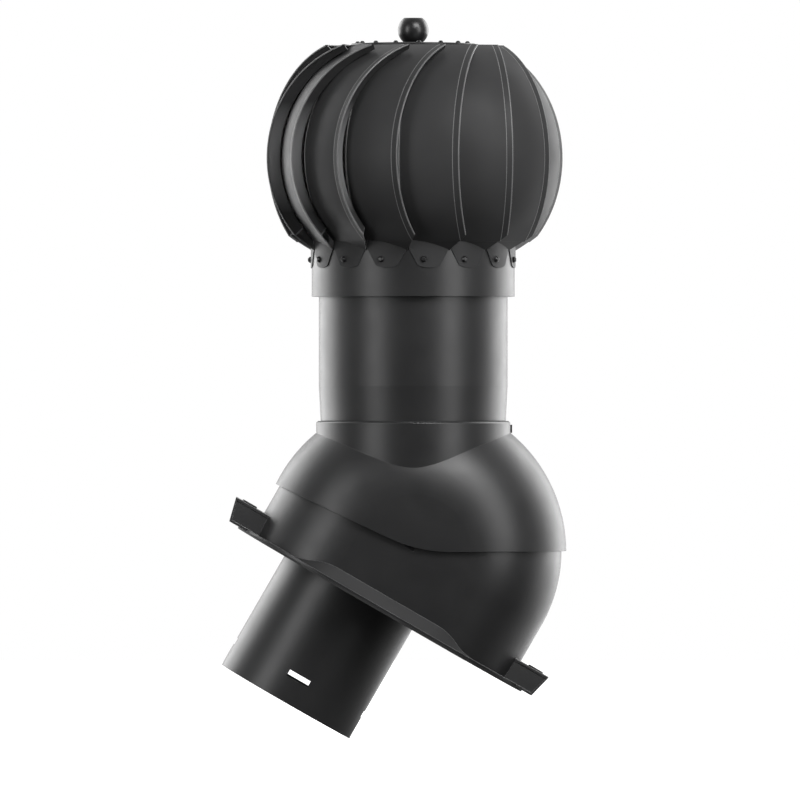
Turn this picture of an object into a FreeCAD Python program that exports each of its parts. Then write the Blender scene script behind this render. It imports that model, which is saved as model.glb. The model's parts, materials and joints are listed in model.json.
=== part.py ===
import FreeCAD, Part
import math
import os

# Roof turbine ventilator, in millimetres. Row frame: +Z is up along the riser at rest, +X points
# down the roof slope, and the origin is where the spigot's axis meets the roof plane.

# Driving sizes of the duct and the roof
spigot_r = 62.5            # outside radius of the duct spigot
duct_wall = 2.0            # wall of the spigot and of the inner duct
roof_pitch = 30.0          # slope of the roof at rest, in degrees
tilt_back = 3.0            # the hood tilts this far up the slope from rest, in degrees
tilt_forward = 15.0        # and this far down the slope
spigot_offset = 30.0       # the spigot stands this far up the slope from the tilt centre
seat_depth = 57.5          # from the tilt centre down to the roof plane
spigot_length = 106.9      # spigot below the roof plane
spigot_inside = 37.5       # spigot above the roof plane
spigot_shoulder = 1.0      # step of the spigot that sits in the plate's hole
spigot_flange_width = 8.5
spigot_flange = 2.5
slot_width = 20.5          # drain and clip slots near the spigot's end
slot_height = 6.1
slot_from_end = 23.3

# Base
base_r = 125.6             # dome radius seen from the side
side_room = 22.0           # from the duct's wall to the dome's widest place across the slope
side_flatness = 1.5        # half width less the radius of the oval's tight ends
shell_wall = 2.5
gasket_thickness = 1.7
gasket_margin = 12.9       # the gasket's edge outside the dome's oval
gasket_band = 22.0
flange_thickness = 2.1
flange_inset = 1.0         # flange edge inside the gasket's edge
plate_thickness = 2.5
plate_clearance = 0.2
ledge_width = 8.0
ledge_height = 6.0
plate_screw_count = 8
tab_top = 22.3             # height of the end tabs above the roof plane
tab_overhang_low = 21.8    # how far the end tabs stand out from the dome at their foot
tab_overhang_high = 27.0   # and at their top
tab_half_low = 32.0
tab_half_high = 28.5
tab_wall = 2.0
tab_lip = 1.9              # raised border round each side face of a tab
tab_recess = 0.8
tab_hole_r = 3.0
tab_boss_r = 6.0
cap_overhang = 14.3
cap_r = 7.0
cap_height = 1.3
cap_plug = 6.0
apron_height = 13.9        # top of the side aprons above the roof plane
apron_flat = 48.6          # half length of the level part
apron_run = 42.0           # length of each sloping end
seal_drop = 45.1           # from the dome's top to the seal's foot, along the opening's direction
seal_width = 3.0
seal_groove = 1.2
seal_running_gap = 0.3
opening_clearance = 1.8    # round the inner duct at every tilt

# Hood
hood_clearance = 1.5
rim_rise = 25.2            # slope of the hood's raised rim, in degrees
rim_corner_x = 4.5
rim_blend_r = 119.0
neck_lip = 2.3             # the neck's outside beyond the riser's
neck_height = 9.6          # neck above the line where it meets the dome
neck_edge_round = 1.6
neck_ledge_drop = 22.1     # ledge that the riser stands on, below that line
neck_ledge_height = 8.0
neck_rib_height = 6.9
neck_rib_depth = 1.5
neck_rib_half = 1.0
overlap = 1.0              # how far joined shapes run into each other

# Riser
riser_jacket = 17.5        # insulation and casing round the duct
riser_draw = 1.6           # how much the casing narrows to its foot
riser_taper = 30.0         # height of that narrowing above the neck
riser_height = 130.3       # riser above the neck
casing_wall = 1.5
insulation_rise = 2.3      # the insulation's foot above the neck's top
foam_gap = 0.1
duct_drop = 12.1           # the duct's foot below the neck's line
claw_half_width = 12.0
claw_length = 22.0
claw_hook = 7.0
claw_gap = 0.5
seal_ring_rise = 1.1       # neck seal above the neck's line
seal_ring_height = 5.8
top_ring_height = 3.0
top_ring_plug = 8.0
hose_gap = 0.8
hose_wall = 2.0
hose_insert = 15.0

# Shaft and bearings
bracket_thickness = 3.0
bracket_arm_width = 14.0
bracket_hub_r = 16.0
bracket_margin = 3.0       # arm ends inside the riser's outside
bracket_screw_margin = 9.0
shaft_r = 5.0
shaft_body_r = 7.0
nut_height = 8.0
nut_across = 17.0
washer_r = 10.0
washer_thickness = 2.0
shaft_tail = 3.0
bearing_r = 13.0
bearing_width = 8.0
ring_wall_inner = 2.5
ring_wall_outer = 2.0
bearing_drop = 56.3        # the lower bearing's foot below the vanes' top
bearing_spacing = 30.0
shield_thickness = 0.6
shield_gap = 0.3
sleeve_wall = 3.0
sleeve_shoulder = 1.2
sleeve_tail = 5.0
sleeve_flange_r = 24.0
sleeve_flange = 2.0
clip_thickness = 1.2
clip_depth = 1.2
fit_gap = 0.05

# Rotor
vane_count = 15
vane_first = -37.7         # direction of the first vane's frame, in degrees from the front
vane_sheet = 0.8
stave_set_in = 78.4        # axis that each vane is rolled about, in from the collar's wall
stave_rise = 92.9          # and its height above the riser
stave_r = 100.5            # vane radius at the outer rim
stave_flare = 3.9          # more radius at the inner edge
inner_edge = 14.2          # sideways place of the inner edge
outer_rim = 65.8           # sideways place of the rim
lip_back = 8.6             # the rim's folded lip, sideways
lip_in = 9.9               # and towards the stave's axis
air_slot = 2.0             # least gap between a lip and the next vane
hem_step = 0.5             # the hems stand this far proud of the panel
rim_hem = 5.6              # width of the hem along the rim
edge_hem = 2.0             # and along the inner edge
crown_angle = 71.67        # the rim rolls up to here from the level
crown_margin = 0.33        # and is trimmed from a little further
sweep_down = 54.0
collar_gap = 6.0           # from the riser to the collar
collar_sheet = 0.8
collar_rise = 16.0         # the collar's top above the riser
collar_height = 40.6
skirt_tab_left = 10.9      # the vane's lower tab, in degrees from its frame
skirt_tab_right = 34.4
skirt_tab_length = 17.0
skirt_tab_rise = 0.4       # the tab's corners above the collar's top
skirt_tab_cover = 16.0     # sheet above the corners that the panel trims
corner_cut_out = 20.2      # where the rim ends at the bottom, out from the collar
corner_cut_angle = 38.3
corner_cut_margin = 10.0
lower_rivet_angle = 19.4
lower_rivet_drop = 9.4     # below the collar's top
lower_rivet_r = 2.6
lower_rivet_head = 2.4
rivet_shank_r = 1.6
upper_rivet_ring = 47.0
upper_rivet_angle = 43.4
upper_rivet_r = 2.1
upper_rivet_head = 1.8
top_hem = 2.0              # width of the flat hem along the vane's top edge
top_hem_start = 34.5       # its sideways place where it leaves the disc
top_tab_depth = 6.0        # the tab under the disc, in from its rivet
disc_r = 52.5
disc_sheet = 1.5
disc_step = 0.6
disc_step_r = 38.0
ball_r = 13.0
ball_flat_top = 21.1       # height of the ball between its two flats
ball_flat_low = 10.6       # lower flat below the ball's centre
stud_r = 3.0
knob_nut_height = 5.0
knob_nut_across = 10.0

# Derived sizes
ORIGIN = FreeCAD.Vector(0, 0, 0)
AXIS_Y = FreeCAD.Vector(0, 1, 0)
AXIS_Z = FreeCAD.Vector(0, 0, 1)
slope = math.radians(roof_pitch)
tilt_centre = FreeCAD.Vector(spigot_offset * math.cos(slope) + seat_depth * math.sin(slope), 0,
                             -spigot_offset * math.sin(slope) + seat_depth * math.cos(slope))
duct_inner_r = spigot_r - duct_wall
plate_low = -seat_depth + gasket_thickness
spigot_flange_r = spigot_r + spigot_flange_width
base_half_width = spigot_r + side_room
base_side_r = base_half_width - side_flatness
tab_reach_low = base_r + tab_overhang_low
tab_reach_high = base_r + tab_overhang_high
cap_centre = base_r + cap_overhang
apron_reach = apron_flat + apron_run
seal_low = base_r - seal_drop
flange_margin = gasket_margin - flange_inset
opening_middle = (tilt_forward - tilt_back) / 2
riser_r = spigot_r + riser_jacket
riser_foot_r = riser_r - riser_draw
neck_r = riser_r + neck_lip
neck_line = math.sqrt((base_r + hood_clearance + shell_wall) ** 2 - neck_r ** 2)
neck_top = neck_line + neck_height
neck_ledge_top = neck_line - neck_ledge_drop
riser_taper_top = neck_top + riser_taper
riser_top = neck_top + riser_height
insulation_foot = neck_top + insulation_rise
duct_foot = neck_line - duct_drop
claw_foot = duct_foot - claw_length
seal_ring_low = neck_line + seal_ring_rise
bracket_screw_ring = riser_r - bracket_screw_margin
bracket_z = riser_top + top_ring_height
nut_top_z = bracket_z + bracket_thickness + washer_thickness + nut_height
collar_r = riser_r + collar_gap
collar_high = riser_top + collar_rise
collar_low = collar_high - collar_height
stave_x = collar_r - stave_set_in
stave_z = riser_top + stave_rise
vane_top = stave_z + stave_r * math.sin(math.radians(crown_angle))
sweep_up = crown_angle + crown_margin
lower_bearing = vane_top - bearing_drop
upper_bearing = lower_bearing + bearing_spacing
skirt_tab_corner = collar_high + skirt_tab_rise
skirt_tab_low = skirt_tab_corner - skirt_tab_length
lower_rivet_z = collar_high - lower_rivet_drop
corner_cut_r = collar_r + corner_cut_out
disc_low = vane_top
FAR = 400.0


def vec(x, y, z):
    return FreeCAD.Vector(x, y, z)


def box(x0, x1, y0, y1, z0, z1):
    return Part.makeBox(x1 - x0, y1 - y0, z1 - z0, vec(x0, y0, z0))


def rod(radius, z0, z1, x=0.0, y=0.0):
    return Part.makeCylinder(radius, z1 - z0, vec(x, y, z0))


def tube(outer, inner, z0, z1):
    return rod(outer, z0, z1).cut(rod(inner, z0 - 1, z1 + 1))


def turned(shape, axis, angle, centre=ORIGIN):
    copy = shape.copy()
    copy.rotate(centre, axis, angle)
    return copy


def lathe(points):
    """Solid turned about the vertical axis from a closed outline of (radius, height) points."""
    wire = Part.makePolygon([vec(r, 0, z) for r, z in points + points[:1]])
    return Part.Face(wire).revolve(ORIGIN, AXIS_Z, 360)


def hexagon(across, z0, z1):
    """Hexagonal prism of the given width across flats."""
    corner = across / math.sqrt(3)
    points = [vec(corner * math.cos(math.radians(60 * k)), corner * math.sin(math.radians(60 * k)), z0)
              for k in range(7)]
    return Part.Face(Part.makePolygon(points)).extrude(vec(0, 0, z1 - z0))


def oval_arcs(offset, z=0.0):
    """Right half of the base's oval in plan, grown by an offset: flat side, tight end, flat side."""
    end = base_r - base_side_r
    side = (end ** 2 + base_half_width ** 2 - base_side_r ** 2) / (2 * (base_half_width - base_side_r))
    drop = side - base_half_width
    turn = math.atan2(drop, end)
    tight, flat = base_side_r + offset, side + offset
    joint = vec(end + tight * math.cos(turn), tight * math.sin(turn), z)
    high = [vec(0, flat - drop, z),
            vec(flat * math.sin((math.pi / 2 - turn) / 2), flat * math.cos((math.pi / 2 - turn) / 2) - drop, z),
            joint]
    low = [vec(point.x, -point.y, z) for point in high[::-1]]
    return [Part.Arc(*low).toShape(), Part.Arc(low[0], vec(end + tight, 0, z), joint).toShape(),
            Part.Arc(*high).toShape()]


def oval_dome(offset, turn=360):
    """The oval turned about the tilt axis; a turn of 180 gives its upper half."""
    arcs = oval_arcs(offset)
    width = base_half_width + offset
    chord = Part.makeLine(vec(0, width, 0), vec(0, -width, 0))
    return Part.Face(Part.Wire(Part.__sortEdges__(arcs + [chord]))).revolve(ORIGIN, vec(0, -1, 0), turn)


def oval_wire(offset, z):
    arcs = oval_arcs(offset, z)
    mirrored = [arc.mirror(ORIGIN, vec(1, 0, 0)) for arc in arcs]
    return Part.Wire(Part.__sortEdges__(arcs + mirrored))


def oval_block(offset, z0, z1):
    """Upright prism with the oval's outline."""
    return Part.Face(oval_wire(offset, z0)).extrude(vec(0, 0, z1 - z0))


def side_prism(points, y0, y1):
    """Prism along Y of an outline of (x, z) points."""
    wire = Part.makePolygon([vec(x, y0, z) for x, z in points + points[:1]])
    return Part.Face(wire).extrude(vec(0, y1 - y0, 0))


def cut_each(body, cutters):
    """The body less every cutter, one after another."""
    for cutter in cutters:
        body = body.cut(cutter)
    return body


def fused(shapes):
    return shapes[0].fuse(shapes[1:]).removeSplitter() if len(shapes) > 1 else shapes[0]


def ring_of(shape, count, first=0.0):
    """Copies of a shape evenly spaced round the vertical axis."""
    return [turned(shape, AXIS_Z, first + 360.0 * k / count) for k in range(count)]


def on_roof(shape):
    """From roof axes (X down the slope, Z off the roof, origin at the tilt centre) to the row."""
    copy = turned(shape, AXIS_Y, roof_pitch)
    copy.translate(tilt_centre)
    return copy


def upright(shape):
    """From riser axes (Z up the riser at rest, origin at the tilt centre) to the row."""
    copy = shape.copy()
    copy.translate(tilt_centre)
    return copy


def save(shape, node):
    shape.exportStep("parts/" + node + ".step")


def leaning_block(reach_low, reach_high, half_low, half_high, start, z0, z1):
    """Block that leans outwards down its length, as the end tabs do."""
    wires = []
    for reach, half, z in ((reach_low, half_low, z0), (reach_high, half_high, z1)):
        corners = [vec(start, -half, z), vec(reach, -half, z), vec(reach, half, z), vec(start, half, z)]
        wires.append(Part.makePolygon(corners + corners[:1]))
    return Part.makeLoft(wires, True, True)


def end_tab():
    """Hollow leaning screw tab at the lower end, before the dome's inside is cut away."""
    low, high = plate_low, -seat_depth + tab_top
    start = base_r - tab_half_low
    lean = (tab_reach_high - tab_reach_low) / (high - low)
    block = leaning_block(tab_reach_low, tab_reach_high, tab_half_low, tab_half_high, start, low, high)
    inset = tab_lip
    face = side_prism([(start, low + flange_thickness), (tab_reach_low - inset + lean * flange_thickness,
                                                        low + flange_thickness),
                       (tab_reach_high - inset, high - inset), (start, high - inset)],
                      -tab_half_low - 1, tab_half_low + 1)
    core = leaning_block(tab_reach_low, tab_reach_high, tab_half_low - tab_recess,
                         tab_half_high - tab_recess, start, low, high)
    block = block.cut(face.cut(core))
    hollow = leaning_block(tab_reach_low - tab_wall, tab_reach_high - tab_wall,
                           tab_half_low - tab_recess - tab_wall, tab_half_high - tab_recess - tab_wall,
                           start, low - 1, high - tab_wall)
    hollow = hollow.cut(oval_block(0, low - 2, high))
    boss = rod(tab_boss_r, low, high - tab_wall / 2, cap_centre, 0)
    hole = rod(tab_hole_r, low - 1, high + 1, cap_centre, 0)
    return block.cut(hollow).fuse(boss).cut(hole)


def s_curve(reach, flat, low, high):
    """Face in the XZ plane under a level top that runs down to both ends in two arcs each."""
    run, drop = reach - flat, high - low
    turn = 2 * math.atan2(drop, run)
    radius = run / (2 * math.sin(turn))

    def flank(side):
        end = vec(side * reach, 0, low)
        middle = vec(side * (reach + flat) / 2, 0, (low + high) / 2)
        top = vec(side * flat, 0, high)
        dip = vec(side * (reach - radius * math.sin(turn / 2)), 0, low + radius * (1 - math.cos(turn / 2)))
        crown = vec(side * (flat + radius * math.sin(turn / 2)), 0, high - radius * (1 - math.cos(turn / 2)))
        return [Part.Arc(end, dip, middle).toShape(), Part.Arc(middle, crown, top).toShape()]

    left = flank(-1)
    right = flank(1)
    level = Part.makeLine(vec(-flat, 0, high), vec(flat, 0, high))
    foot = [Part.makeLine(vec(reach, 0, low), vec(reach, 0, low - 3)),
            Part.makeLine(vec(reach, 0, low - 3), vec(-reach, 0, low - 3)),
            Part.makeLine(vec(-reach, 0, low - 3), vec(-reach, 0, low))]
    edges = left + [level] + list(reversed(right)) + foot
    return Part.Face(Part.Wire(Part.__sortEdges__(edges)))


def apron_form(inset):
    """Flared apron at both sides of the base, drawn in by the given wall."""
    low, high = plate_low + flange_thickness, -seat_depth + apron_height
    flare = [oval_wire(margin - inset, z) for z, margin in ((high, 1.0), (low - 1.5, flange_margin))]
    skirt = Part.makeLoft(flare, True, True)
    profile = s_curve(apron_reach, apron_flat, low, high)
    profile.translate(vec(0, -FAR / 2, -inset))
    return skirt.common(profile.extrude(vec(0, FAR, 0)))


def dome_opening():
    """Pieces of the slot through the dome that the inner duct swings in."""
    clear_r = spigot_r + opening_clearance
    near, far = base_r * 0.4, base_r * 1.2
    ends = [turned(rod(clear_r, near, far), AXIS_Y, angle) for angle in (-tilt_back, tilt_forward)]
    strip = Part.makePolygon([vec(0, -clear_r, near), vec(0, clear_r, near), vec(0, clear_r, far),
                              vec(0, -clear_r, far), vec(0, -clear_r, near)])
    sweep = turned(Part.Face(strip), AXIS_Y, -tilt_back).revolve(ORIGIN, AXIS_Y, tilt_back + tilt_forward)
    return [turned(piece, AXIS_Y, -roof_pitch) for piece in ends + [sweep]]


def seal_band(outer, inner):
    """Band of the dome round its opening, between two offsets from the dome's outside."""
    ring = oval_dome(outer, 180).cut(oval_dome(inner, 180))
    ring = ring.common(box(-FAR, FAR, -FAR, FAR, seal_low, seal_low + seal_width))
    return turned(ring, AXIS_Y, opening_middle - roof_pitch)


def plate_screw_places():
    """Places of the plate screws, evenly along the middle of the ledge."""
    middle = oval_wire(-shell_wall - ledge_width / 2, 0)
    points = middle.discretize(Number=2 * plate_screw_count + 1)
    return [(point.x, point.y) for point in points[1::2]]


def base_dome():
    outer = oval_dome(0, 180).fuse(oval_block(0, plate_low, 0))
    flange = oval_block(flange_margin, plate_low, plate_low + flange_thickness)
    tab = end_tab()
    apron = apron_form(0).cut(apron_form(flange_thickness))
    body = outer.removeSplitter()
    for piece in (flange, apron, tab, turned(tab, AXIS_Z, 180)):
        body = body.fuse(piece)
    inside = oval_dome(-shell_wall, 180).fuse(oval_block(-shell_wall, plate_low - 1, 0))
    body = body.cut(inside)
    ledge_z = plate_low + plate_thickness
    ledge = oval_block(0.5 - shell_wall, ledge_z, ledge_z + ledge_height).cut(
        oval_block(-shell_wall - ledge_width, ledge_z - 1, ledge_z + ledge_height + 1))
    holes = [rod(rivet_shank_r, ledge_z - 1, ledge_z + ledge_height - 1, x, y)
             for x, y in plate_screw_places()]
    body = cut_each(body, dome_opening() + [seal_band(1.0, -seal_groove)])
    return body.fuse(cut_each(ledge, holes))


def dome_seal():
    return seal_band(hood_clearance - seal_running_gap, -seal_groove)


def base_plate():
    top = plate_low + plate_thickness
    plate = oval_block(-shell_wall - plate_clearance, plate_low, top)
    sink = [Part.makeCone(2 * rivet_shank_r, rivet_shank_r + fit_gap, plate_thickness, vec(x, y, plate_low))
            for x, y in plate_screw_places()]
    flange_holes = [rod(rivet_shank_r + fit_gap, plate_low - 1, top + 1, x - spigot_offset, y)
                    for x, y in spigot_screw_places()]
    seat = rod(spigot_r + spigot_shoulder + fit_gap, plate_low - 1, top + 1, -spigot_offset, 0)
    return plate.cut(sink + flange_holes + [seat])


def plate_screws():
    """Countersunk screws that hold the plate up against the ledge."""
    top = plate_low + plate_thickness
    screws = []
    for x, y in plate_screw_places():
        head = Part.makeCone(2 * rivet_shank_r - fit_gap, rivet_shank_r, plate_thickness, vec(x, y, plate_low))
        screws.append(head.fuse(rod(rivet_shank_r - fit_gap, top, top + ledge_height - 1.5, x, y)))
    return Part.makeCompound(screws)


def roof_gasket():
    return oval_block(gasket_margin, -seat_depth, plate_low).cut(
        oval_block(gasket_margin - gasket_band, -seat_depth - 1, plate_low + 1))


def tab_caps():
    """Push-in caps over the two roof screws."""
    top = -seat_depth + tab_top
    cap = rod(cap_r, top, top + cap_height, cap_centre, 0).fuse(
        rod(tab_hole_r - fit_gap, top - cap_plug, top, cap_centre, 0))
    edge = [e for e in cap.Edges if abs(e.BoundBox.ZMin - (top + cap_height)) < 1e-6
            and abs(e.BoundBox.ZMax - (top + cap_height)) < 1e-6]
    cap = cap.makeChamfer(0.4, edge)
    return Part.makeCompound([cap, turned(cap, AXIS_Z, 180)])


def spigot_screw_places():
    ring = (spigot_r + spigot_shoulder + spigot_flange_r) / 2
    return [(ring * math.cos(math.radians(60 * k + 30)), ring * math.sin(math.radians(60 * k + 30)))
            for k in range(6)]


def spigot_pipe():
    end = -seat_depth - spigot_length
    top = plate_low + plate_thickness
    shoulder_r = spigot_r + spigot_shoulder
    outline = [(duct_inner_r, end), (spigot_r, end), (spigot_r, plate_low), (shoulder_r, plate_low),
               (shoulder_r, top), (spigot_flange_r, top),
               (spigot_flange_r, top + spigot_flange), (spigot_r, top + spigot_flange),
               (spigot_r, -seat_depth + spigot_inside), (duct_inner_r, -seat_depth + spigot_inside)]
    pipe = lathe(outline)
    middle = end + slot_from_end
    window = box(duct_inner_r - 5, spigot_r + 5, -slot_width / 2, slot_width / 2,
                 middle - slot_height / 2, middle + slot_height / 2)
    holes = [rod(rivet_shank_r + fit_gap, top - 1, top + spigot_flange + 1, x, y)
             for x, y in spigot_screw_places()]
    pipe = pipe.cut(ring_of(window, 4) + holes)
    pipe.translate(vec(-spigot_offset, 0, 0))
    return pipe


def spigot_screws():
    top = plate_low + plate_thickness + spigot_flange
    screws = []
    for x, y in spigot_screw_places():
        head = rod(2 * rivet_shank_r, top, top + 2, x - spigot_offset, y)
        shank = rod(rivet_shank_r, plate_low, top, x - spigot_offset, y)
        screws.append(head.fuse(shank))
    return Part.makeCompound(screws)


def flex_hose():
    """Soft hose from inside the spigot to inside the duct, mitred where their axes cross."""
    outer = duct_inner_r - hose_gap
    inner = outer - hose_wall
    crossing = vec(0, 0, spigot_offset / math.sin(slope))
    mitre = turned(box(-FAR, FAR, -FAR, FAR, crossing.z, crossing.z + FAR), AXIS_Y, roof_pitch / 2, crossing)
    upper = tube(outer, inner, crossing.z - outer, duct_foot + hose_insert).common(mitre)
    lower = tube(outer, inner, -seat_depth + spigot_inside - hose_insert, crossing.z + outer)
    lower.translate(vec(-spigot_offset, 0, 0))
    return upper.fuse(turned(lower, AXIS_Y, roof_pitch).cut(mitre))


def hood_rim_cut():
    """Everything below the hood's raised rim, as a prism across the hood."""
    rise = math.radians(rim_rise)
    leg = rim_blend_r * math.tan(rise / 2)
    start = vec(rim_corner_x + leg, 0, 0)
    end = vec(rim_corner_x - leg * math.cos(rise), 0, leg * math.sin(rise))
    centre = vec(rim_corner_x + leg, 0, rim_blend_r)
    middle = centre + vec(-math.sin(rise / 2), 0, -math.cos(rise / 2)) * rim_blend_r
    far = vec(-FAR, 0, (FAR + rim_corner_x) * math.tan(rise))
    below = [vec(-FAR, 0, -FAR), vec(start.x, 0, -FAR)]
    edges = [Part.Arc(start, middle, end).toShape(), Part.makeLine(end, far),
             Part.makeLine(far, below[0]), Part.makeLine(below[0], below[1]),
             Part.makeLine(below[1], start)]
    face = Part.Face(Part.Wire(edges))
    face.translate(vec(0, -FAR / 2, 0))
    return face.extrude(vec(0, FAR, 0))


def hood_shell():
    inside = oval_dome(hood_clearance, 180)
    neck_inner = neck_r - shell_wall
    dome = oval_dome(hood_clearance + shell_wall, 180).cut(rod(neck_inner, 0, FAR))
    foot = neck_ledge_top / 2
    neck = lathe([(neck_inner, foot), (neck_r, foot), (neck_r, neck_top), (neck_inner, neck_top)])
    edge = [e for e in neck.Edges if abs(e.BoundBox.ZMin - neck_top) < 1e-6
            and e.BoundBox.XLength > 2 * neck_r - 0.5 and e.BoundBox.ZLength < 1e-6]
    neck = neck.makeFillet(neck_edge_round, edge)
    ledge = tube(neck_inner + overlap, riser_foot_r - casing_wall - overlap,
                 neck_ledge_top - neck_ledge_height, neck_ledge_top)
    rib = box(neck_r - overlap, neck_r + neck_rib_depth, -neck_rib_half, neck_rib_half,
              neck_line, neck_line + neck_rib_height)
    shell = dome.fuse([neck, ledge, rib]).cut([inside, hood_rim_cut()])
    return shell.removeSplitter()


def neck_seal():
    return tube(neck_r - shell_wall, riser_foot_r, seal_ring_low, seal_ring_low + seal_ring_height)


def casing_outline(radius_shift, low, high):
    """Outline of the tapered riser wall's outside, moved in by the given shift."""
    foot, top = riser_foot_r - radius_shift, riser_r - radius_shift
    return [(foot, low), (foot, neck_top), (top, riser_taper_top), (top, high)]


def riser_casing():
    outside = casing_outline(0, neck_ledge_top, riser_top)
    inside = casing_outline(casing_wall, neck_ledge_top, riser_top)
    casing = lathe(outside + inside[::-1])
    return casing.cut(oval_dome(hood_clearance + seal_running_gap, 180))


def riser_insulation():
    top = riser_top - top_ring_plug
    foot, wide = (riser_foot_r - casing_wall - foam_gap), (riser_r - casing_wall - foam_gap)
    taper = riser_taper_top
    start = foot + (wide - foot) * (insulation_foot - neck_top) / (taper - neck_top)
    return lathe([(spigot_r + foam_gap, insulation_foot), (start, insulation_foot), (wide, taper),
                  (wide, top), (spigot_r + foam_gap, top)])


def inner_duct():
    """Duct in the riser, with two claws that hold the hood down on the base dome."""
    pipe = tube(spigot_r, duct_inner_r, duct_foot, riser_top)
    slab = box(-claw_half_width, claw_half_width, 0, FAR, claw_foot, duct_foot)
    tongue = tube(spigot_r, duct_inner_r, claw_foot, duct_foot).common(slab)
    hook = tube(spigot_r + claw_hook, spigot_r - duct_wall / 2, claw_foot + 2, duct_foot).common(slab)
    hook = hook.common(oval_dome(-shell_wall - claw_gap, 180))
    claw = tongue.fuse(hook)
    return fused([pipe, claw, turned(claw, AXIS_Z, 180)])


def riser_top_ring():
    low, step, top = riser_top - top_ring_plug, riser_top, riser_top + top_ring_height
    plug_in, plug_out = spigot_r + foam_gap, riser_r - casing_wall - foam_gap
    ring = lathe([(duct_inner_r, step), (plug_in, step), (plug_in, low), (plug_out, low),
                  (plug_out, step), (riser_r, step), (riser_r, top), (duct_inner_r, top)])
    hole = rod(rivet_shank_r, low + 1, top + 1, bracket_screw_ring, 0)
    return ring.cut(ring_of(hole, 4, 45))


def shaft_bracket():
    """Four-armed bracket across the riser's mouth."""
    low, top = bracket_z, bracket_z + bracket_thickness
    arm = box(0, riser_r, -bracket_arm_width / 2, bracket_arm_width / 2, low, top)
    arm = arm.common(rod(riser_r - bracket_margin, low, top))
    hole = rod(rivet_shank_r + fit_gap, low - 1, top + 1, bracket_screw_ring, 0)
    body = fused([rod(bracket_hub_r, low, top)] + ring_of(arm, 4, 45))
    return body.cut(ring_of(hole, 4, 45) + [rod(shaft_r + fit_gap, low - 1, top + 1)])


def bracket_screws():
    top = bracket_z + bracket_thickness
    screw = rod(2 * rivet_shank_r, top, top + 2, bracket_screw_ring, 0).fuse(
        rod(rivet_shank_r - fit_gap, riser_top - top_ring_plug + 2, top, bracket_screw_ring, 0))
    return Part.makeCompound(ring_of(screw, 4, 45))


def rotor_shaft():
    low = bracket_z - washer_thickness - nut_height - shaft_tail
    top = upper_bearing + bearing_width + clip_thickness + 3
    groove = upper_bearing + bearing_width
    return lathe([(0, low), (shaft_r - 0.8, low), (shaft_r, low + 0.8), (shaft_r, nut_top_z),
                  (shaft_body_r, nut_top_z), (shaft_body_r, lower_bearing), (shaft_r, lower_bearing),
                  (shaft_r, groove), (shaft_r - clip_depth, groove),
                  (shaft_r - clip_depth, groove + clip_thickness), (shaft_r, groove + clip_thickness),
                  (shaft_r, top), (0, top)])


def shaft_nuts():
    bore = rod(shaft_r + fit_gap, 0, FAR)
    top = bracket_z + bracket_thickness + washer_thickness
    low = bracket_z - washer_thickness
    nuts = [hexagon(nut_across, z, z + nut_height).cut(bore) for z in (low - nut_height, top)]
    return Part.makeCompound(nuts)


def shaft_washers():
    return Part.makeCompound([tube(washer_r, shaft_r + fit_gap, z, z + washer_thickness)
                              for z in (bracket_z - washer_thickness, bracket_z + bracket_thickness)])


def inner_ring(low):
    return tube(shaft_r + ring_wall_inner, shaft_r + fit_gap, low, low + bearing_width)


def outer_ring(low):
    """Outer race with its two shields."""
    inside = bearing_r - ring_wall_outer
    lip = shaft_r + ring_wall_inner + shield_gap
    top = low + bearing_width
    race = bearing_r - fit_gap
    return lathe([(lip, low), (race, low), (race, top), (lip, top), (lip, top - shield_thickness),
                  (inside, top - shield_thickness), (inside, low + shield_thickness),
                  (lip, low + shield_thickness)])


def bearing_spacer():
    return tube(shaft_r + ring_wall_inner - 0.5, shaft_r + fit_gap, lower_bearing + bearing_width, upper_bearing)


def open_clip(outer, inner, low):
    """Snap ring with a gap."""
    ring = tube(outer, inner, low, low + clip_thickness)
    return ring.cut(box(0, outer + 1, -1.5, 1.5, low - 1, low + clip_thickness + 1))


def shaft_clip():
    return open_clip(shaft_r + ring_wall_inner - 0.5, shaft_r - clip_depth + fit_gap,
                     upper_bearing + bearing_width)


def hub_sleeve():
    """Bearing housing under the hub disc."""
    outer = bearing_r + sleeve_wall
    low = lower_bearing - sleeve_tail
    top = disc_low + disc_step
    groove_low = lower_bearing - clip_thickness
    first, second = lower_bearing + bearing_width, upper_bearing
    groove_top = upper_bearing + bearing_width
    deep = bearing_r + clip_depth
    return lathe([(bearing_r, low), (outer, low), (outer, top - sleeve_flange),
                  (sleeve_flange_r, top - sleeve_flange), (sleeve_flange_r, top), (bearing_r, top),
                  (bearing_r, groove_top + clip_thickness), (deep, groove_top + clip_thickness),
                  (deep, groove_top), (bearing_r, groove_top), (bearing_r, second),
                  (bearing_r - sleeve_shoulder, second), (bearing_r - sleeve_shoulder, first),
                  (bearing_r, first), (bearing_r, lower_bearing), (deep, lower_bearing),
                  (deep, groove_low), (bearing_r, groove_low)])


def sleeve_clips():
    outer, inner = bearing_r + clip_depth - fit_gap, bearing_r - 1.5
    return Part.makeCompound([open_clip(outer, inner, lower_bearing - clip_thickness),
                              open_clip(outer, inner, upper_bearing + bearing_width)])


def hub_disc():
    """Slightly dished disc that the vane tops are riveted to."""
    low, raised = disc_low, disc_low + disc_step
    blend = disc_step_r + 2
    disc = lathe([(stud_r + fit_gap, raised), (disc_step_r, raised), (blend, low), (disc_r, low),
                  (disc_r, low + disc_sheet - 0.4), (disc_r - 0.4, low + disc_sheet),
                  (blend, low + disc_sheet), (disc_step_r, raised + disc_sheet),
                  (stud_r + fit_gap, raised + disc_sheet)])
    angle = vane_first + upper_rivet_angle - 90
    hole = rod(rivet_shank_r + fit_gap, low - 1, low + disc_sheet + 2, upper_rivet_ring, 0)
    return disc.cut(ring_of(hole, vane_count, angle))


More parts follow.
